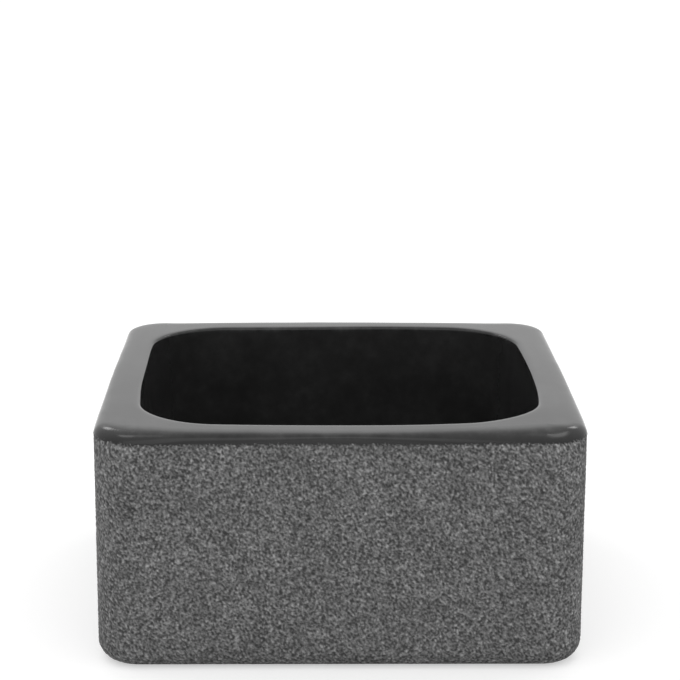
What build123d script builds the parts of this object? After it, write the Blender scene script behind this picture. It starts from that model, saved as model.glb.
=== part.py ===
"""A square stone sink carved from one block: honed rim and bowl, pecked outer walls.

Millimetres, +Z up. The origin is on the underside, on the axis of the drain hole.
"""
from build123d import *
import os
from math import atan2, degrees, sqrt

# Block
block_side = 300.0
block_height = 150.0
block_corner_radius = 27.0
foot_round = 13.0

# Honed band round the rim, and the pecked walls that lie a little behind it
honed_band_height = 6.5
rim_round = 6.0
peck_depth = 0.6
peck_runout = 1.5

# Mouth of the bowl, a square whose sides bow outwards
mouth_width = 256.0
mouth_bow = 5.0
mouth_corner_radius = 52.0
mouth_edge_round = 2.2

# Bowl: walls that lean in to a level foot, and a tight cove along it
bowl_depth = 118.0
wall_lean = 3.5
cove_radius = 5.0

# Floor: level in the corners, a shallow cone that falls to the drain inside this circle
fall_diameter = 220.0
floor_fall = 3.0

# Drain: a recessed seat for the flange of a waste, and the bore under it
seat_mouth_diameter = 63.0
seat_diameter = 57.0
seat_depth = 3.0
seat_lip_bevel = 1.0
bore_diameter = 45.0
bore_mouth_bevel = 1.0
bore_foot_bevel = 1.5

# Flat left beside a rounding, and how far a cut runs past the face it leaves by
least_land = 0.5
overrun = 5.0


def bowed_square(width, bow, corner_radius):
    """A square with round corners, width across at mid-side, whose sides are arcs that bulge by bow."""
    half = width / 2
    side_radius = ((half - bow) ** 2 + bow ** 2) / (2 * bow)
    side_centre = half - side_radius
    # The centre of a corner arc lies on the diagonal, this far from the centre of a side arc
    reach = side_radius - corner_radius
    corner_centre = (side_centre + sqrt(2 * reach ** 2 - side_centre ** 2)) / 2
    meeting = degrees(atan2(corner_centre, corner_centre - side_centre))
    side = CenterArc((side_centre, 0), side_radius, -meeting, 2 * meeting)
    corner = CenterArc((corner_centre, corner_centre), corner_radius, meeting, 90 - 2 * meeting)
    return make_face(Curve() + [Rot(0, 0, 90 * turn) * arc for turn in range(4) for arc in (side, corner)])


def top_face(shape):
    """The highest flat face of a shape."""
    return shape.faces().sort_by(Axis.Z)[-1]


def bottom_face(shape):
    """The lowest flat face of a shape."""
    return shape.faces().sort_by(Axis.Z)[0]


def dressed_block():
    """The squared block: pecked walls, a short runout, and the honed band that stands proud."""
    band = RectangleRounded(block_side, block_side, block_corner_radius)
    wall_side = block_side - 2 * peck_depth
    wall = RectangleRounded(wall_side, wall_side, block_corner_radius - peck_depth)
    band_foot = block_height - honed_band_height
    wall_top = band_foot - peck_runout
    walls = extrude(wall, wall_top)
    walls = fillet(bottom_face(walls).edges(), foot_round)
    runout = loft([Pos(0, 0, wall_top) * wall, Pos(0, 0, band_foot) * band], ruled=True)
    rim = extrude(Pos(0, 0, band_foot) * band, honed_band_height)
    rim = fillet(top_face(rim).edges(), min(rim_round, honed_band_height - least_land))
    return walls + runout + rim


def bowl():
    """The hollow down to its level foot: a pocket that narrows downwards and is coved all round."""
    mouth = Pos(0, 0, block_height) * bowed_square(mouth_width, mouth_bow, mouth_corner_radius)
    pocket = extrude(mouth, bowl_depth, dir=(0, 0, -1), taper=wall_lean)
    pocket = fillet(bottom_face(pocket).edges(), cove_radius)
    return pocket + extrude(mouth, overrun)


def drain():
    """All that is cut below the level foot: the fall of the floor, the seat and the bore."""
    bore = bore_diameter / 2
    seat = seat_diameter / 2
    lip = seat_mouth_diameter / 2
    fall = fall_diameter / 2
    level = block_height - bowl_depth
    lip_height = level - floor_fall
    seat_height = lip_height - seat_depth
    flare = (lip - seat) / seat_depth
    slope = floor_fall / (fall - lip)
    section = Polyline(
        (0, -overrun),
        (bore + bore_foot_bevel + overrun, -overrun),
        (bore, bore_foot_bevel),
        (bore, seat_height - bore_mouth_bevel),
        (bore + bore_mouth_bevel, seat_height),
        (seat, seat_height),
        (lip - seat_lip_bevel * flare, lip_height - seat_lip_bevel),
        (lip + seat_lip_bevel, lip_height + seat_lip_bevel * slope),
        (fall, level),
        (fall, level + overrun),
        (0, level + overrun),
        close=True,
    )
    return revolve(Plane.XZ * make_face(section), Axis.Z)


def stone_basin():
    """The finished sink: the block, hollowed and drilled, with the edge of its mouth eased."""
    stone = dressed_block() - bowl() - drain()
    mouth_edge = top_face(stone).inner_wires()[0].edges()
    return fillet(mouth_edge, mouth_edge_round)


os.makedirs("parts", exist_ok=True)
export_step(stone_basin(), "parts/stone_basin.step")
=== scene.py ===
"""A square stone sink: honed rim and bowl, pecked outer walls, on a pale floor.

Every length is in metres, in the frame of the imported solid: +Z up, the origin on the underside, on
the axis of the drain hole. The front wall faces -Y.
"""
from math import atan2, cos, pi, radians, sin, tan

import bpy
import numpy as np
from mathutils import Matrix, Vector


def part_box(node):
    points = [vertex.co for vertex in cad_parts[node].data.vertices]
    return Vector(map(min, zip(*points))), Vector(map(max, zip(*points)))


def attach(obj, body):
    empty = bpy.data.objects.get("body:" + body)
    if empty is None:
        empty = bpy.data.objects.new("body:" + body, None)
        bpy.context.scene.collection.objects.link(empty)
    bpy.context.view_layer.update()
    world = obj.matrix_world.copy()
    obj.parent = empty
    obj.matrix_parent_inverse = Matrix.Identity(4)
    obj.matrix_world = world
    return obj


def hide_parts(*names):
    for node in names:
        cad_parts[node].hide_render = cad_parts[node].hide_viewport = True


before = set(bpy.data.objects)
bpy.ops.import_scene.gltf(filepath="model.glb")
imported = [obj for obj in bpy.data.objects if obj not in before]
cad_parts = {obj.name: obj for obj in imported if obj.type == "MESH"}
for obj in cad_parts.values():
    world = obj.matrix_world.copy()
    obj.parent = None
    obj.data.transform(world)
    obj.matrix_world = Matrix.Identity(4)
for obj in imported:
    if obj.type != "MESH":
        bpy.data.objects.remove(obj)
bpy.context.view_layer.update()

MM = 0.001

# Block, as in the solid
block_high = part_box("stone_basin")[1]
half_side = block_high[0]
block_height = block_high[2]
block_corner = 27 * MM
foot_round = 13 * MM
peck_depth = 0.6 * MM

# Rounding of the rim: its radius at a tilt is rim_round + rim_ease / tilt ** 1.5, where a tilt under
# first_tilt counts as first_tilt. rim_round changes by each stray, which has its place from the middle of
# the front wall, its width and its change
rim_round = 4.5 * MM
rim_ease = 0.6 * MM
rim_strays = (
    (0 * MM, 40 * MM, -2.5 * MM),
    (-132 * MM, 26 * MM, 9.0 * MM),
    (108 * MM, 38 * MM, 6.5 * MM),
    (134 * MM, 22 * MM, 8.0 * MM),
    (288 * MM, 70 * MM, -1.6 * MM),
    (-288 * MM, 70 * MM, -2.0 * MM),
    (577 * MM, 70 * MM, -2.2 * MM),
    (462 * MM, 20 * MM, 1.5 * MM),
    (-462 * MM, 20 * MM, 1.5 * MM),
)
first_tilt = radians(2)

# Mouth of the bowl: a square whose sides bow outwards, the rounding of its edge, which eases as the rim's
# does, and where its line strays: angle, width, reach
mouth_half = 128 * MM
mouth_bow = 5 * MM
mouth_corner = 52 * MM
mouth_round = 1.4 * MM
mouth_ease = 0.28 * MM
mouth_strays = (
    (radians(70), radians(22), 2.5 * MM),
    (radians(142), radians(20), 3.0 * MM),
    (radians(220), radians(16), -2.0 * MM),
    (radians(312), radians(15), -5.0 * MM),
)
stray_left_at_foot = 0.3

# Wear, with a painted highlight: by the tilt on the mouth's edge, and a share of it along the cove
worn_tilt = radians(14)
worn_spread = radians(7)
cove_wear_and_highlight = 0.7

# Bowl and floor
bowl_depth = 118 * MM
level_height = block_height - bowl_depth
wall_lean = radians(3.5)
cove = 3.5 * MM
fall_radius = 110 * MM
floor_fall = 3 * MM

# Drain
lip_radius = 31.5 * MM
seat_radius = 28.5 * MM
seat_depth = 3 * MM
lip_round = 1.2 * MM
seat_corner = 0.8 * MM
bore_radius = 22.5 * MM
bore_round = 1.2 * MM
bore_surround = 1.4 * bore_radius

# Edge between honed band and pecked wall: its height, the blend across it, how ragged it is, and where
# it strays: place from the middle of the front wall, width, rise
edge_height = 143.6 * MM
edge_blend = 0.5 * MM
edge_ragged = 0.45 * MM
edge_strays = (
    (-125 * MM, 22 * MM, -1.3 * MM),
    (138 * MM, 24 * MM, -1.0 * MM),
    (330 * MM, 30 * MM, -0.9 * MM),
    (480 * MM, 45 * MM, 0.6 * MM),
    (-300 * MM, 35 * MM, 0.7 * MM),
    (-420 * MM, 20 * MM, -1.0 * MM),
)

# Random heights on the skin: longest wave, shortest wave, seed
crumb_grain = (60 * MM, 1.8 * MM, 11)
ragged_grain = (12 * MM, 2.0 * MM, 12)
wave_grain = (90 * MM, 35 * MM, 13)
chip_grain = (40 * MM, 9 * MM, 14)

# Relief: pecks on the walls, chips along the foot, and the slow waves that hand tools leave
peck_height = 0.17 * MM
peck_limit = 2
chip_depth = 0.9 * MM
chip_threshold = 1.6
chip_full = 5 * MM
chip_end = 16 * MM
wave_height = 0.05 * MM
relief_start = 4 * MM
wave_start = 0.3
pecked_start = 1 * MM

# Grid of the outer skin: how deep its slabs are, columns along a side and round a corner, the columns of
# each side that a corner slab takes, and rows down the profile
skin_depth = 12.5 * MM
least_flat = 0.5 * MM
column_pitch = 0.64 * MM
side_columns = 384
corner_columns = 66
quarter_columns = side_columns + corner_columns
seam_margin = 8
row_pitch = 0.70 * MM
flat_rows = 3
rim_rows = 40
under_rows = 2

# Rings of the honed core, from the rim inwards and down to the underside. Its columns are those of the
# skin, taken bowl_step at a time
rim_rings = 8
mouth_rows = 14
wall_rings = 42
cove_rings = 9
margin_rings = 5
drain_pitch = 2.5 * MM
under_rings = 14
bowl_step = 3

# Layout of a slab's texture: the outer face at the top, a strip with both caps, and the back below
outer_low = 0.1
cap_low = 0.06
cap_rise = 0.03
cap_width = 0.45
second_cap = 0.5
back_low = 0.001
back_share = 0.05

# Layout of the core's texture: its rings, and the strip with its upright outer wall
rings_high = 0.97
strip_low = 0.975
strip_high = 0.999


# Mesh making

def add_mesh(name, points, corners, starts, smooth, places, **values):
    """A mesh object from vertex rows, face corners, face starts and a smooth mark for each face.

    places are UV places, one for each face corner, and values are named attributes of the vertices. The
    edges of faces that aren't smooth are sharp.
    """
    mesh = bpy.data.meshes.new(name)
    mesh.vertices.add(len(points))
    mesh.vertices.foreach_set("co", points.astype(np.float32).ravel())
    mesh.loops.add(len(corners))
    mesh.loops.foreach_set("vertex_index", corners.astype(np.int32))
    mesh.polygons.add(len(starts))
    mesh.polygons.foreach_set("loop_start", starts.astype(np.int32))
    mesh.update(calc_edges=True)
    mesh.polygons.foreach_set("use_smooth", smooth)
    corner_edges = np.empty(len(corners), np.int32)
    mesh.loops.foreach_get("edge_index", corner_edges)
    sharp = np.zeros(len(mesh.edges), bool)
    sharp[corner_edges[np.repeat(~smooth, np.diff(starts, append=len(corners)))]] = True
    mesh.edges.foreach_set("use_edge_sharp", sharp)
    mesh.uv_layers.new(name="OFBake").data.foreach_set("uv", places.astype(np.float32).ravel())
    for key, value in values.items():
        layer = mesh.attributes.new(key, "FLOAT", "POINT")
        layer.data.foreach_set("value", value.astype(np.float32).ravel())
    if mesh.validate(verbose=True):
        raise ValueError(name + " has faults")
    piece = bpy.data.objects.new(name, mesh)
    bpy.context.collection.objects.link(piece)
    return piece


def quads(first, beside, across, below):
    """Rows of four values, one for each corner of a face, from four equal arrays."""
    return np.stack([first, beside, across, below], axis=-1).reshape(-1, 4)


def smooth_step(low, high, value):
    """0 at low, 1 at high, an S-shaped rise between, and held past both. low may be the larger one."""
    share = np.clip((value - low) / (high - low), 0, 1)
    return share * share * (3 - 2 * share)


def strays(place, length, bumps):
    """A sum of bell curves at places on a loop of this length, each with its middle, width and height."""
    total = 0 * place
    for middle, width, rise in bumps:
        away = (place - middle + length / 2) % length - length / 2
        total += rise * np.exp(-(away / width) ** 2)
    return total


# Outlines seen from above, as a radius for each angle

def fold(angle):
    """An angle's distance from the middle of the nearest side, 0 to 45 degrees."""
    return np.abs((angle + pi / 4) % (pi / 2) - pi / 4)


def far_side(angle, centre_x, centre_y, radius):
    """Distance from the Z axis, at this angle, to the far side of a circle."""
    along = centre_x * np.cos(angle) + centre_y * np.sin(angle)
    return along + np.sqrt(np.maximum(radius ** 2 - centre_x ** 2 - centre_y ** 2 + along ** 2, 0))


side_arc = ((mouth_half - mouth_bow) ** 2 + mouth_bow ** 2) / (2 * mouth_bow)
side_centre = mouth_half - side_arc
corner_centre = (side_centre + (2 * (side_arc - mouth_corner) ** 2 - side_centre ** 2) ** 0.5) / 2
arc_meeting = atan2(corner_centre, corner_centre - side_centre)


def bowl_outline(angle, inset):
    """The bowl's bowed square drawn in by inset: the arc of a side, then the tighter arc of a corner."""
    turned = fold(angle)
    reach = side_arc - inset
    meeting = np.arctan2(reach * sin(arc_meeting), side_centre + reach * cos(arc_meeting))
    side = far_side(turned, side_centre, 0, reach)
    corner = far_side(turned, corner_centre, corner_centre, mouth_corner - inset)
    return np.where(turned <= meeting, side, corner)


def eased_turn(turn, steps):
    """A turn down from the flat that starts slowly: tilts, and the paths ahead and down of its two parts.

    The first part has a radius of 1 at every tilt, the second one of 1 / tilt ** 1.5, held under first_tilt.
    The steps are finer where the turn starts.
    """
    tilt = turn * np.linspace(0, 1, steps + 1) ** 1.5
    middle = (tilt[1:] + tilt[:-1]) / 2
    radius = np.stack([np.ones(steps), np.maximum(middle, first_tilt) ** -1.5]) * np.diff(tilt)
    start = np.zeros((2, 1))
    ahead = np.concatenate([start, np.cumsum(radius * np.cos(middle), axis=1)], axis=1)
    down = np.concatenate([start, np.cumsum(radius * np.sin(middle), axis=1)], axis=1)
    return tilt, ahead, down


# Outer skin

def skin_plan():
    """Places and outward directions round the block: a side, then its right-hand corner, four times."""
    straight = half_side - block_corner
    along = np.linspace(-straight, straight, side_columns, endpoint=False)
    turn = np.linspace(0, pi / 2, corner_columns, endpoint=False)
    side_outward = np.tile([0.0, -1.0], (side_columns, 1))
    corner_outward = np.stack([np.sin(turn), -np.cos(turn)], axis=1)
    side = np.stack([along, np.full(side_columns, -half_side)], axis=1)
    corner = np.array([straight, -straight]) + block_corner * corner_outward
    place = np.concatenate([side, corner])
    outward = np.concatenate([side_outward, corner_outward])
    quarter_turn = np.array([[0, 1], [-1, 0]])
    turns = [np.linalg.matrix_power(quarter_turn, quarter) for quarter in range(4)]
    places = np.concatenate([place @ each for each in turns])
    return places, np.concatenate([outward @ each for each in turns])


def skin_profile(rounds):
    """Rows of the skin from the rim's flat over the rim, down the wall and round the foot, for each column.

    Gives the inset from the wall and the height, by column and row, and the outward direction by row as an
    outward and an upward part. Between the end of the rim's turn and the foot the rows share the wall evenly.
    """
    tilt, ahead, down = eased_turn(pi / 2, rim_rows)
    tilt = tilt[:-1]
    ahead = rounds[:, None] * ahead[0] + rim_ease * ahead[1]
    down = rounds[:, None] * down[0] + rim_ease * down[1]
    flat = np.linspace(0, 1, flat_rows, endpoint=False)
    wall_rows = round((block_height - rim_round - foot_round) / row_pitch)
    wall = np.linspace(0, 1, wall_rows, endpoint=False)
    foot = np.linspace(0, -pi / 2, round(foot_round * pi / 2 / row_pitch), endpoint=False)
    under = np.linspace(0, 1, under_rows)
    level = 0 * rounds[:, None]
    width = ahead[:, -1:]
    drop = down[:, -1:]
    depth = np.maximum(skin_depth, width + least_flat)
    inset = [depth + flat * (width - depth), width - ahead[:, :-1], level + 0 * wall]
    inset += [level + foot_round * (1 - np.cos(foot)), foot_round + under * (depth - peck_depth - foot_round)]
    height = [level + block_height + 0 * flat, block_height - down[:, :-1]]
    height += [foot_round + (block_height - drop - foot_round) * (1 - wall)]
    height += [level + foot_round * (1 + np.sin(foot)), level + 0 * under]
    out = np.concatenate([0 * flat, np.sin(tilt), 0 * wall + 1, np.cos(foot), 0 * under])
    up = np.concatenate([0 * flat + 1, np.cos(tilt), 0 * wall, np.sin(foot), 0 * under - 1])
    return np.concatenate(inset, axis=1), np.concatenate(height, axis=1), out, up


def grain(travel, longest, shortest, seed):
    """Random heights that join up round the block: noise kept between two wavelengths, with a spread of 1.

    The noise lies on an even grid of columns and of travel along the skin, and is read at each row's travel.
    """
    columns = len(travel)
    pitch = column_pitch / 2
    steps = round(travel.max() / pitch) + 2
    scatter = np.random.default_rng(seed).standard_normal((columns, steps))
    waves = np.hypot(np.fft.fftfreq(columns, column_pitch)[:, None], np.fft.fftfreq(steps, pitch)[None, :])
    kept = (waves * longest) ** 2 / (1 + (waves * longest) ** 2) / (1 + (waves * shortest) ** 4)
    field = np.fft.ifft2(np.fft.fft2(scatter) * kept).real
    place = travel / pitch
    above = np.floor(place).astype(int)
    column = np.arange(columns)[:, None]
    share = place - above
    read = field[column, above] * (1 - share) + field[column, above + 1] * share
    return read / field.std()


def skin_surface():
    """The displaced skin as points by column and row, with its pecked share and the height of its grain.

    Each point starts on the plain profile, draws back by peck_depth where the wall is pecked, and moves along
    the outward direction by the pecks, the chips and the waves. Travel is the way along the skin from the end
    of the foot.
    """
    place, outward = skin_plan()
    columns = len(place)
    around = (np.arange(columns) - side_columns / 2) * column_pitch
    length = columns * column_pitch
    inset, height, out, up = skin_profile(rim_round + strays(around, length, rim_strays))
    steps = np.hypot(np.diff(inset, axis=1), np.diff(height, axis=1))
    travel = np.cumsum(np.concatenate([0 * steps[:, :1], steps], axis=1), axis=1)
    travel = np.abs(travel[:, -2:-1] - travel)
    crumbs = grain(travel, *crumb_grain)
    ragged = grain(travel, *ragged_grain)
    slow = grain(travel, *wave_grain)
    chips = grain(travel, *chip_grain)
    edge = edge_height + strays(around, length, edge_strays)
    line = edge[:, None] + edge_ragged * ragged - height
    pecked = smooth_step(-edge_blend / 2, edge_blend / 2, line)
    wall_share = smooth_step(0, relief_start, height)
    pecks = peck_height * peck_limit * np.tanh(crumbs / peck_limit) * pecked * wall_share
    near_foot = smooth_step(chip_end, chip_full, height) * wall_share
    broken = -chip_depth * np.clip(chips - chip_threshold, 0, 1) * near_foot
    waved = smooth_step(0, wave_start, out) * wall_share
    moved = pecks + broken - wave_height * (1 - np.tanh(slow)) * waved
    ahead = out * moved - inset - peck_depth * pecked
    flat_places = place[:, None, :] + outward[:, None, :] * ahead[:, :, None]
    heights = height + up * moved
    points = np.concatenate([flat_places, heights[:, :, None]], axis=2)
    return points, pecked * smooth_step(0, pecked_start, height), crumbs


def skin_slab(name, first, columns, surface):
    """One closed slab of the skin: its outer grid, an upright back, and a flat cap at each end."""
    taken = np.arange(first, first + columns + 1) % len(surface[0])
    points, pecked, crumbs = [part[taken] for part in surface]
    rows = points.shape[1]
    number = np.arange(len(taken) * rows).reshape(-1, rows)
    outer = quads(number[:-1, :-1], number[:-1, 1:], number[1:, 1:], number[1:, :-1])
    back = quads(number[:-1, 0], number[1:, 0], number[1:, -1], number[:-1, -1])
    corners = np.concatenate([outer.ravel(), back.ravel(), number[0, ::-1], number[-1]])
    four_sided = len(outer) + len(back)
    starts = np.concatenate([4 * np.arange(four_sided + 1), [4 * four_sided + rows]])
    smooth = np.arange(len(starts)) < len(outer)
    across = np.repeat(np.linspace(0, 1, len(taken)), rows)
    down = np.tile(np.linspace(1, outer_low, rows), len(taken))
    grid_places = np.stack([across, down], axis=1)
    outer_places = grid_places[outer].reshape(-1, 2)
    back_places = (grid_places[back] * [1, back_share] + [0, back_low]).reshape(-1, 2)
    cap_arch = cap_low + cap_rise * np.sin(np.linspace(0, pi, rows))
    cap = np.stack([np.linspace(0, cap_width, rows), cap_arch], axis=1)
    places = np.concatenate([outer_places, back_places, cap[::-1], cap + [second_cap, 0]])
    points = points.reshape(-1, 3)
    return add_mesh(name, points, corners, starts, smooth, places, pecked=pecked, crumb=crumbs)


# Honed core: rim, bowl, floor, drain and underside

def spaced(start, stop, pitch):
    """Shares from 0 up to 1, without the 1, for steps of about this pitch between two points."""
    count = max(1, round(np.hypot(stop[0] - start[0], stop[1] - start[1]) / pitch))
    return np.arange(count) / count


def rounded_path(corners, rounds, pitch, arc_steps=6):
    """A path of (radius, height) rows: arcs at the inner corners, and straight runs divided by pitch."""
    corners = np.array(corners, float)
    stretches = []
    leaving = corners[0]
    for before, corner, after, radius in zip(corners, corners[1:], corners[2:], rounds):
        ahead = (corner - before) / np.linalg.norm(corner - before)
        onward = (after - corner) / np.linalg.norm(after - corner)
        turn = np.arctan2(ahead[0] * onward[1] - ahead[1] * onward[0], ahead @ onward)
        cut = radius * abs(tan(turn / 2))
        start = corner - cut * ahead
        side = np.sign(turn) * np.array([-ahead[1], ahead[0]])
        swept = (np.abs(turn) * np.arange(arc_steps) / arc_steps)[:, None]
        share = spaced(leaving, start, pitch)[:, None]
        stretches.append(leaving + share * (start - leaving))
        stretches.append(start + radius * np.sin(swept) * ahead + radius * (1 - np.cos(swept)) * side)
        leaving = corner + cut * onward
    share = spaced(leaving, corners[-1], pitch)[:, None]
    stretches += [leaving + share * (corners[-1] - leaving), corners[-1:]]
    return np.concatenate(stretches)


def drain_path():
    """The fall of the floor, the lip, the seat, the bore and the start of the underside."""
    lip_height = level_height - floor_fall
    seat_height = lip_height - seat_depth
    corners = [
        (fall_radius, level_height),
        (lip_radius, lip_height),
        (seat_radius, seat_height),
        (bore_radius, seat_height),
        (bore_radius, 0),
        (bore_surround, 0),
    ]
    return rounded_path(corners, [lip_round, seat_corner, bore_round, bore_round], drain_pitch)


def bowl_path():
    """Inset from the mouth's line and height, down the mouth's edge, the leaning wall and the cove."""
    lean = tan(wall_lean)
    ahead, down = eased_turn(pi / 2 - wall_lean, mouth_rows)[1:]
    ahead = mouth_round * ahead[0] + mouth_ease * ahead[1]
    down = mouth_round * down[0] + mouth_ease * down[1]
    edge = np.stack([ahead - ahead[-1] + down[-1] * lean, block_height - down])
    cove_inset = (bowl_depth - cove) * lean + cove / cos(wall_lean)
    turn = np.linspace(pi + wall_lean, 3 * pi / 2, cove_rings)
    foot = np.stack([cove_inset + cove * np.cos(turn), level_height + cove * (1 + np.sin(turn))])
    share = np.linspace(0, 1, wall_rings + 2)[1:-1]
    wall = edge[:, -1:] + share * (foot[:, :1] - edge[:, -1:])
    return np.concatenate([edge, wall, foot], axis=1)


def core_rings(angle, outer):
    """Radius and height of every ring of the core, by ring and angle.

    They run from the outer line along the rim inwards, down the bowl, through the drain and out below. The
    mouth's strays fade towards the foot of the bowl.
    """
    inset, bowl_height = bowl_path()
    sides = bowl_outline(angle[None, :], inset[:, None])
    fading = 1 - (1 - stray_left_at_foot) * smooth_step(block_height, level_height, bowl_height)
    sides += strays(angle, 2 * pi, mouth_strays) * fading[:, None]
    share = np.linspace(0, 1, rim_rings, endpoint=False)[:, None]
    rim = outer * (1 - share) + sides[:1] * share
    share = np.linspace(0, 1, margin_rings + 2)[1:-1, None]
    margin = sides[-1:] * (1 - share) + fall_radius * share
    drain = drain_path()
    drain_radius = drain[:, :1] + 0 * angle
    share = np.linspace(0, 1, under_rings + 1)[1:, None]
    under = drain_radius[-1:] * (1 - share) + outer * share
    radius = np.concatenate([rim, sides, margin, drain_radius, under])
    heights = [np.full(len(rim), block_height), bowl_height, np.full(len(margin), level_height)]
    heights += [drain[:, 1], np.zeros(len(under))]
    return radius, np.concatenate(heights)


def core_wear(angle, rows):
    """How much wear and painted highlight each ring has at each angle.

    Part wear and part painted highlight, it is a bell curve of the tilt on the mouth's edge, and a weaker one
    of the turn in the cove, full at the front and none at the rear.
    """
    worn = np.zeros((rows, len(angle)))
    tilt = eased_turn(pi / 2 - wall_lean, mouth_rows)[0]
    cove_start = rim_rings + len(tilt) + wall_rings
    worn[rim_rings:rim_rings + len(tilt)] = np.exp(-((tilt - worn_tilt) / worn_spread) ** 2)[:, None]
    turn = np.linspace(0, pi, cove_rings)
    worn[cove_start:cove_start + cove_rings] = cove_wear_and_highlight * np.sin(turn)[:, None] ** 2
    return worn * np.clip(0.5 - 0.5 * np.sin(angle), 0, 1)


def honed_core(name, surface):
    """The core as one closed grid: rings round the Z axis by rows, closed by an upright outer wall."""
    border = surface[0][::bowl_step, 0, :2]
    angle = np.arctan2(border[:, 1], border[:, 0])
    radius, height = core_rings(angle, np.hypot(border[:, 0], border[:, 1]))
    rows, columns = radius.shape
    points = np.stack([radius * np.cos(angle), radius * np.sin(angle), height[:, None] + 0 * angle], axis=2)
    number = np.arange(rows * columns).reshape(rows, columns)
    under = np.roll(number, -1, axis=0)
    beside = np.roll(number, -1, axis=1)
    corners = quads(number, beside, np.roll(under, -1, axis=1), under)
    smooth = np.arange(len(corners)) < (rows - 1) * columns
    step = np.hypot(np.diff(radius, axis=0).mean(axis=1), np.diff(height))
    travel = np.concatenate([[0], np.cumsum(step)]) / step.sum() * rings_high
    left, top = np.meshgrid(np.arange(columns) / columns, travel)
    right, bottom = np.meshgrid(np.arange(1, columns + 1) / columns, np.append(travel[1:], strip_high))
    top[-1] = strip_low
    places = quads(left, right, right, left).reshape(-1)
    places = np.stack([places, quads(top, top, bottom, bottom).reshape(-1)], axis=1)
    starts = 4 * np.arange(len(corners))
    points = points.reshape(-1, 3)
    return add_mesh(name, points, corners.ravel(), starts, smooth, places, worn=core_wear(angle, rows))


# Nodes

def add_node(tree, kind, settings=None, **inputs):
    """A node with its settings and inputs. An input that is another node's socket is linked, a number is set.

    In an input's name, i and a number stand for the input with that number, and _ stands for a space.
    """
    node = tree.nodes.new("ShaderNode" + kind)
    for key, value in (settings or {}).items():
        setattr(node, key, value)
    for key, value in inputs.items():
        numbered = key[0] == "i" and key[1:].isdigit()
        socket = node.inputs[int(key[1:]) if numbered else key.replace("_", " ")]
        if isinstance(value, bpy.types.NodeSocket):
            tree.links.new(value, socket)
        else:
            socket.default_value = value
    return node


def math_node(tree, operation, *values):
    """The result of a sum, product or other operation on up to three values."""
    inputs = {"i" + str(slot): value for slot, value in enumerate(values)}
    return add_node(tree, "Math", {"operation": operation}, **inputs).outputs[0]


def product(tree, first, *others):
    """All the values multiplied together."""
    for other in others:
        first = math_node(tree, "MULTIPLY", first, other)
    return first


def blend(tree, share, first, second):
    """The first value at a share of 0, the second at 1, and on along the same line between and past them."""
    settings = {"data_type": "FLOAT", "clamp_factor": False}
    return add_node(tree, "Mix", settings, i0=share, i2=first, i3=second).outputs[0]


def noise(tree, place, size, detail, roughness):
    """Noise with features of about this size, from 0 to 1 round 0.5."""
    node = add_node(tree, "TexNoise", None, Vector=place, Scale=1 / size, Detail=detail, Roughness=roughness)
    return node.outputs["Fac"]


def spread(tree, value, low, high, new_low, new_high):
    """A value carried from one range to another, held at the ends."""
    settings = {"clamp": True}
    names = {"From_Min": low, "From_Max": high, "To_Min": new_low, "To_Max": new_high}
    return add_node(tree, "MapRange", settings, Value=value, **names).outputs["Result"]


def from_axis(tree, place):
    """Distance from the Z axis."""
    parts = add_node(tree, "SeparateXYZ", None, Vector=place).outputs
    squares = [product(tree, parts[part], parts[part]) for part in range(2)]
    return math_node(tree, "SQRT", math_node(tree, "ADD", *squares))


def height_of(tree, place):
    """Height over the underside."""
    return add_node(tree, "SeparateXYZ", None, Vector=place).outputs[2]


def vertex_value(tree, name):
    """One of the named values that a mesh's vertices carry."""
    return add_node(tree, "Attribute", {"attribute_name": name}).outputs["Fac"]


def new_group(name, inputs, outputs):
    """An empty node group with named sockets, and its input and output nodes."""
    group = bpy.data.node_groups.new(name, "ShaderNodeTree")
    for label, kind in inputs:
        group.interface.new_socket(label, in_out="INPUT", socket_type="NodeSocket" + kind)
    for label, kind in outputs:
        group.interface.new_socket(label, in_out="OUTPUT", socket_type="NodeSocket" + kind)
    return group, group.nodes.new("NodeGroupInput").outputs, group.nodes.new("NodeGroupOutput").inputs


def use_group(tree, group, **inputs):
    """A node group placed in a tree, and its outputs."""
    node = tree.nodes.new("ShaderNodeGroup")
    node.node_tree = group
    for key, value in inputs.items():
        if isinstance(value, bpy.types.NodeSocket):
            tree.links.new(value, node.inputs[key])
        else:
            node.inputs[key].default_value = value
    return node.outputs


# Finishes of the stone. Tones are shares of light that a surface gives back

stone_ior = 1.41
honed_tone = 0.018
# Painted shade: a darker tone on the honed band under the rim, in place of a dimmer reflection there
band_painted_shade_tone = 0.006
# Wear and painted highlight: how much paler the mouth's edge and the cove are
worn_tone = 0.05
turned_tone = 0.075
pecked_tone = 0.129
honed_bump = 0.006 * MM
pecked_bump = 0.12 * MM
honed_sheen = (0.14, 0.20)
turned_sheen = 0.35
pecked_sheen = 0.85

# Heights between which a finish changes: from the bowl's floor to its walls, from those to the rim's flat,
# from the drain to the floor, and from the painted shade of the honed band to the rim
floor_heights = (level_height + 2 * MM, level_height + 12 * MM)
flat_heights = (block_height - 4 * MM, block_height - 1 * MM)
drain_heights = (level_height + 2 * MM, level_height + 4 * MM)
band_shade_heights = (block_height - 7 * MM, block_height - 2.5 * MM)

# The range that holds most of a noise's values
noise_range = (0.3, 0.7)

# How the hand strokes are drawn out, how strong the honed pattern is in the bowl against the rim, and how
# painted shade darkens the bowl's floor away from the drain, with painted light near it
stroke_scale = (1, 0.25, 1)
bowl_wall_pattern = 0.25
bowl_floor_pattern = 1.8
floor_shade_reach = (34 * MM, 76 * MM)
floor_light_to_shade = (1.5, 0.4)

# How much fine crystals add to the height of a crumb, in spreads of the grain, the heights that are darkest
# and palest, and how far the pale tops stand out. Tone by height is partly bruising of the stone and partly
# painted shade in the pits
crystal_share = 3.7
crumb_range = (-2.0, 2.6)
pale_power = 1.6


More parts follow.
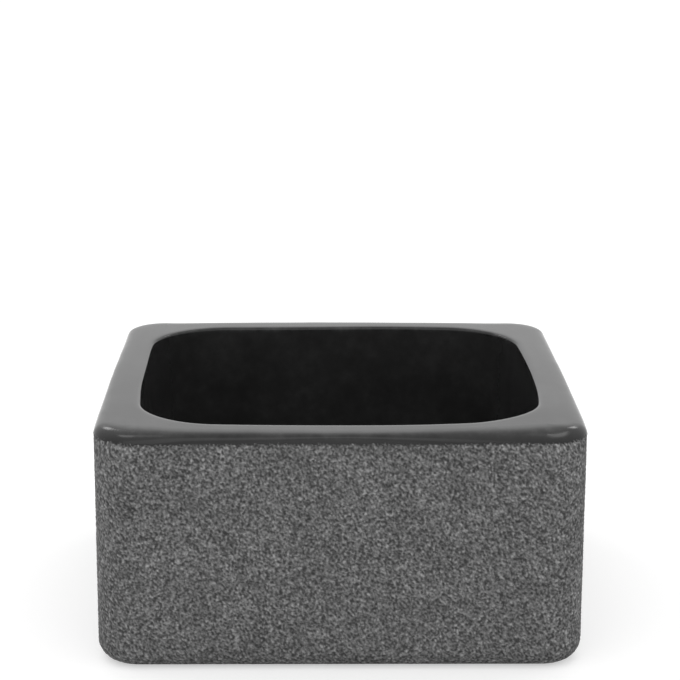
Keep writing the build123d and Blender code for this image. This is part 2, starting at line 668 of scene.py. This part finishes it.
def honed_face():
    """Honed stone: clouds, mottle, hand strokes and small flecks in the tone, and a satin sheen.

    The pattern is weaker on the bowl's upright walls and stronger on its floor, which has painted light near
    the drain and painted shade away from it.
    """
    group, given, put = new_group(
        "honed_face",
        [("Place", "Vector"), ("Tone", "Float")],
        [("Tone", "Float"), ("Roughness", "Float"), ("Height", "Float")],
    )
    place = given["Place"]
    stroked = add_node(group, "VectorMath", {"operation": "MULTIPLY"}, i0=place, i1=stroke_scale).outputs[0]
    clouds = noise(group, place, 40 * MM, detail=4.0, roughness=0.6)
    mottle = noise(group, place, 10 * MM, detail=3.0, roughness=0.6)
    strokes = noise(group, stroked, 6 * MM, detail=3.0, roughness=0.6)
    flecks = noise(group, place, 1.2 * MM, detail=2.0, roughness=0.6)
    pattern = product(
        group,
        spread(group, clouds, *noise_range, 0.25, 1.75),
        spread(group, mottle, *noise_range, 0.65, 1.35),
        spread(group, strokes, *noise_range, 0.8, 1.2),
        spread(group, flecks, 0.35, 0.75, 0.92, 1.15),
    )
    height = height_of(group, place)
    on_floor = spread(group, height, *floor_heights, 1.0, 0.0)
    on_rim = spread(group, height, *flat_heights, 0.0, 1.0)
    flat = math_node(group, "MAXIMUM", on_floor, on_rim)
    strength = spread(group, flat, 0.0, 1.0, bowl_wall_pattern, 1.0)
    strength = math_node(group, "MULTIPLY_ADD", on_floor, bowl_floor_pattern - 1, strength)
    tone = math_node(group, "MAXIMUM", blend(group, strength, 1.0, pattern), 0.0)
    # Painted light and shade: the bowl's floor is paler near the drain and darker towards the walls
    floor_light_and_shade = spread(group, from_axis(group, place), *floor_shade_reach, *floor_light_to_shade)
    tone = product(group, tone, blend(group, on_floor, 1.0, floor_light_and_shade), given["Tone"])
    sheen = spread(group, math_node(group, "ADD", mottle, clouds), 0.7, 1.3, *honed_sheen)
    relief = product(group, math_node(group, "MULTIPLY_ADD", mottle, 2.0, flecks), flat)
    group.links.new(tone, put["Tone"])
    group.links.new(sheen, put["Roughness"])
    group.links.new(relief, put["Height"])
    return group


def turned_face():
    """Stone cut by the turning tool round the drain, and the share of it: pale, with fine rings in its tone.

    Painted shade darkens the tone where the seat meets its slope, and a painted highlight makes it paler up
    the slope to the lip.
    """
    group, given, put = new_group(
        "turned_face",
        [("Place", "Vector"), ("Tone", "Float")],
        [("Tone", "Float"), ("Share", "Float")],
    )
    place = given["Place"]
    across = from_axis(group, place)
    inside = spread(group, across, lip_radius - 0.2 * MM, lip_radius + 0.4 * MM, 1.0, 0.0)
    low = spread(group, height_of(group, place), *drain_heights, 1.0, 0.0)
    outwards = add_node(group, "CombineXYZ", None, X=across).outputs[0]
    rings = noise(group, outwards, 0.9 * MM, detail=2.0, roughness=0.6)
    blotches = noise(group, place, 14 * MM, detail=3.0, roughness=0.6)
    # Painted shade in the crease where the seat meets its slope, and a painted highlight on the slope up to
    # the lip
    seat_crease_shade = spread(group, across, seat_radius - 0.8 * MM, seat_radius - 0.2 * MM, 1.0, 0.35)
    rise = spread(group, across, seat_radius + 0.2 * MM, seat_radius + 1.4 * MM, 0.0, 2.2)
    tone = product(
        group,
        spread(group, rings, *noise_range, 0.7, 1.3),
        spread(group, blotches, *noise_range, 0.6, 1.4),
        math_node(group, "ADD", seat_crease_shade, rise),
        given["Tone"],
    )
    group.links.new(tone, put["Tone"])
    group.links.new(product(group, inside, low), put["Share"])
    return group


def pecked_face():
    """Pecked stone: pale crumbs over dark pits, by the height of the grain, with fine crystals. Its tone by
    height is partly the stone's bruising and partly painted shade in the pits.
    """
    group, given, put = new_group(
        "pecked_face",
        [("Place", "Vector"), ("Crumb", "Float"), ("Tone", "Float")],
        [("Tone", "Float"), ("Height", "Float")],
    )
    crystals = noise(group, given["Place"], 0.9 * MM, detail=3.0, roughness=0.7)
    patches = noise(group, given["Place"], 30 * MM, detail=3.0, roughness=0.6)
    centred = math_node(group, "SUBTRACT", crystals, 0.5)
    height = math_node(group, "MULTIPLY_ADD", centred, crystal_share, given["Crumb"])
    # Partly bruising, partly painted shade: the tone is darker in the pits and paler on the crumbs' tops
    pale = math_node(group, "POWER", spread(group, height, *crumb_range, 0.0, 1.0), pale_power)
    tone = product(
        group,
        spread(group, pale, 0.0, 1.0, 0.3, 2.7),
        spread(group, patches, *noise_range, 0.84, 1.16),
        given["Tone"],
    )
    group.links.new(tone, put["Tone"])
    group.links.new(crystals, put["Height"])
    return group


def new_material(name):
    """A material with its Principled shader linked, its tree and that shader."""
    material = bpy.data.materials.new(name)
    material.use_nodes = True
    tree = material.node_tree
    tree.nodes.clear()
    shader = tree.nodes.new("ShaderNodeBsdfPrincipled")
    output = tree.nodes.new("ShaderNodeOutputMaterial")
    tree.links.new(shader.outputs[0], output.inputs[0])
    return material, tree, shader


def finish_shader(tree, shader, tone, sheen, relief, depth):
    """Gives a stone's shader its tone, sheen and relief, the relief as bumps of this depth."""
    colour = add_node(tree, "CombineColor", None, Red=tone, Green=tone, Blue=tone).outputs["Color"]
    bump = add_node(tree, "Bump", None, Height=relief, Distance=depth, Strength=1.0).outputs[0]
    tree.links.new(colour, shader.inputs["Base Color"])
    tree.links.new(sheen, shader.inputs["Roughness"])
    tree.links.new(bump, shader.inputs["Normal"])
    shader.inputs["IOR"].default_value = stone_ior


def honed_stone(honed, turned):
    """Dark stone honed to a satin, paler along the mouth's edge from wear and a painted highlight, and turned
    round the drain.
    """
    material, tree, shader = new_material("honed_stone")
    place = add_node(tree, "TexCoord").outputs["Object"]
    face = use_group(tree, honed, Place=place, Tone=honed_tone)
    drain = use_group(tree, turned, Place=place, Tone=turned_tone)
    # Wear and a painted highlight: paler along the mouth's edge and the cove, full at the front and none at
    # the rear
    tone = math_node(tree, "MULTIPLY_ADD", vertex_value(tree, "worn"), worn_tone, face["Tone"])
    tone = blend(tree, drain["Share"], tone, drain["Tone"])
    sheen = blend(tree, drain["Share"], face["Roughness"], turned_sheen)
    finish_shader(tree, shader, tone, sheen, face["Height"], honed_bump)
    return material


def dressed_stone(honed, pecked):
    """The same stone where it is honed, with painted shade on the band under the rim, and pecked where the
    skin says so.
    """
    material, tree, shader = new_material("dressed_stone")
    place = add_node(tree, "TexCoord").outputs["Object"]
    share = vertex_value(tree, "pecked")
    # Painted shade: the honed band under the rim gets a darker tone than the rim
    band = spread(tree, height_of(tree, place), *band_shade_heights, band_painted_shade_tone, honed_tone)
    smooth_face = use_group(tree, honed, Place=place, Tone=band)
    rough_face = use_group(tree, pecked, Place=place, Crumb=vertex_value(tree, "crumb"), Tone=pecked_tone)
    tone = blend(tree, share, smooth_face["Tone"], rough_face["Tone"])
    sheen = blend(tree, share, smooth_face["Roughness"], pecked_sheen)
    low = product(tree, smooth_face["Height"], honed_bump / pecked_bump)
    relief = blend(tree, share, low, rough_face["Height"])
    finish_shader(tree, shader, tone, sheen, relief, pecked_bump)
    return material


# Stage, light and camera

floor_half = 6.0
floor_tone = 0.6
floor_glow = 0.48

# Soft lamps: name, place, width, height, power
lamps = (
    ("left_back_lamp", (-0.7, 1.07, 1.21), 0.3, 0.3, 1.2),
    ("right_back_lamp", (0.7, 1.07, 1.21), 0.3, 0.3, 1.05),
    ("left_top_lamp", (-0.58, 0.10, 1.45), 0.25, 0.25, 0.5),
    ("right_top_lamp", (0.60, 0.20, 1.45), 0.4, 0.16, 0.55),
    ("front_lamp", (-0.3, -1.05, 1.25), 1.4, 0.9, 2.2),
)

# Camera of the front view, with its focal length in pixels of a frame of this width
camera_place = (-17.5 * MM, -1332.4 * MM, 492.3 * MM)
camera_pitch = radians(13.535)
camera_yaw = radians(-0.8)
camera_roll = radians(0.213)
focal_pixels = 2074
frame_pixels = 680
sensor_width = 36


def pale_floor():
    """A wide floor that the camera sees as white, darkened only by what the object shades."""
    mesh = bpy.data.meshes.new("floor")
    edge = floor_half
    corners = [(-edge, -edge, 0), (edge, -edge, 0), (edge, edge, 0), (-edge, edge, 0)]
    mesh.from_pydata(corners, [], [(0, 1, 2, 3)])
    floor = bpy.data.objects.new("floor", mesh)
    bpy.context.collection.objects.link(floor)
    material, tree, shader = new_material("floor_white")
    shader.inputs["Base Color"].default_value = (floor_tone, floor_tone, floor_tone, 1)
    shader.inputs["Roughness"].default_value = 0.9
    shader.inputs["Specular IOR Level"].default_value = 0.0
    path = tree.nodes.new("ShaderNodeLightPath").outputs
    seen = math_node(tree, "MAXIMUM", path["Is Camera Ray"], path["Is Glossy Ray"])
    seen = math_node(tree, "MAXIMUM", seen, path["Is Transmission Ray"])
    tree.links.new(product(tree, seen, floor_glow), shader.inputs["Emission Strength"])
    shader.inputs["Emission Color"].default_value = (1, 1, 1, 1)
    mesh.materials.append(material)


def studio_world():
    """Plain even light from all round, which the camera and gloss see as white."""
    world = bpy.data.worlds.new("studio")
    bpy.context.scene.world = world
    world.use_nodes = True
    tree = world.node_tree
    tree.nodes.clear()
    light = add_node(tree, "Background", None, Color=(1, 1, 1, 1), Strength=1.0)
    output = tree.nodes.new("ShaderNodeOutputWorld")
    tree.links.new(light.outputs[0], output.inputs[0])


def soft_lamp(name, place, width, height, power):
    """A soft lamp with a level upper edge, at a place and facing the middle of the block."""
    lamp = bpy.data.lights.new(name, "AREA")
    lamp.shape = "RECTANGLE"
    lamp.size = width
    lamp.size_y = height
    lamp.energy = power
    stand = bpy.data.objects.new(name, lamp)
    bpy.context.collection.objects.link(stand)
    away = np.array(place) - [0, 0, block_height / 2]
    turn = Matrix.Rotation(atan2(away[1], away[0]) + pi / 2, 4, "Z")
    tilt = Matrix.Rotation(atan2(np.hypot(away[0], away[1]), away[2]), 4, "X")
    stand.matrix_world = Matrix.Translation(place) @ turn @ tilt


def studio_camera():
    """The camera of the front view: looking along +Y and down, with a little yaw and roll."""
    lens = bpy.data.cameras.new("camera")
    lens.sensor_width = sensor_width
    lens.lens = focal_pixels / frame_pixels * sensor_width
    camera = bpy.data.objects.new("camera", lens)
    bpy.context.collection.objects.link(camera)
    turn = Matrix.Rotation(camera_yaw, 4, "Z") @ Matrix.Rotation(pi / 2 - camera_pitch, 4, "X")
    camera.matrix_world = Matrix.Translation(camera_place) @ turn @ Matrix.Rotation(camera_roll, 4, "Z")
    bpy.context.scene.camera = camera


# The sink

def dress(piece, material):
    """Gives a piece its finish and its body, and hides the solid that it stands for."""
    piece.data.materials.append(material)
    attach(piece, "root")
    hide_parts("stone_basin")


honed_group = honed_face()
pecked_group = pecked_face()
honed_finish = honed_stone(honed_group, turned_face())
dressed_finish = dressed_stone(honed_group, pecked_group)
skin = skin_surface()
dress(honed_core("honed_bowl", skin), honed_finish)
sides = ("front", "right", "back", "left")
for turn, side in enumerate(sides):
    first = turn * quarter_columns + seam_margin
    wide = side_columns - 2 * seam_margin
    dress(skin_slab("wall_" + side, first, wide, skin), dressed_finish)
    corner_name = "corner_" + side + "_" + sides[(turn + 1) % 4]
    dress(skin_slab(corner_name, first + wide, quarter_columns - wide, skin), dressed_finish)

pale_floor()
studio_world()
for lamp in lamps:
    soft_lamp(*lamp)
studio_camera()
bpy.context.scene.view_settings.view_transform = "Standard"
